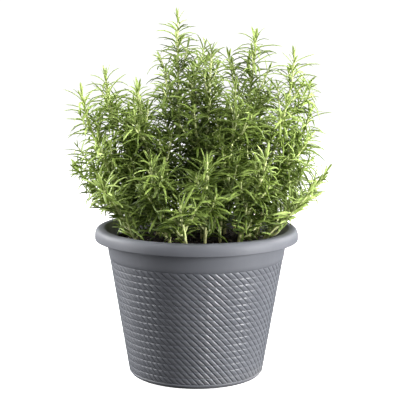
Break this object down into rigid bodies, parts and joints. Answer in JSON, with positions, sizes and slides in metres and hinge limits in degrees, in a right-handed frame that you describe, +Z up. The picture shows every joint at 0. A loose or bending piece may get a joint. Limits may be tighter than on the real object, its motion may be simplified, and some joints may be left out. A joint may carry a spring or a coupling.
{
  "type": "potted rosemary plant",
  "caption": "Bushy rosemary with upright and leaning leafy stems growing in a round tapered plastic planter with a woven relief wall and a rolled rim.",
  "frame": {"origin": "centre of the planter's foot, on the surface that it stands on", "axes": "+Z up along the planter's axis, -Y towards the side most often seen, +X to that side's right"},
  "size_m": [0.3711, 0.3161, 0.5214],
  "materials": {
    "planter_plastic": "satin grey moulded plastic",
    "soil": null,
    "foliage": null
  },
  "bodies": {
    "root": {"planter": "planter_plastic", "soil": "soil", "stem_tall_middle": "foliage", "stem_tall_right": "foliage", "stem_far_right": "foliage", "stem_dark_middle": "foliage", "stem_left_high": "foliage", "stem_left_outer": "foliage", "stem_left_inner": "foliage", "stem_right_inner": "foliage", "stem_right_mid": "foliage", "stem_left_low": "foliage", "stem_right_low": "foliage", "stem_front_left": "foliage", "stem_front_middle": "foliage", "stem_front_right": "foliage", "stem_corner_left": "foliage", "stem_corner_right": "foliage", "stem_back_left": "foliage", "stem_back_middle": "foliage", "stem_back_right": "foliage", "stem_back_left_low": "foliage", "stem_back_right_low": "foliage", "stem_back_low": "foliage", "stem_front_low": "foliage"}
  },
  "joints": []
}
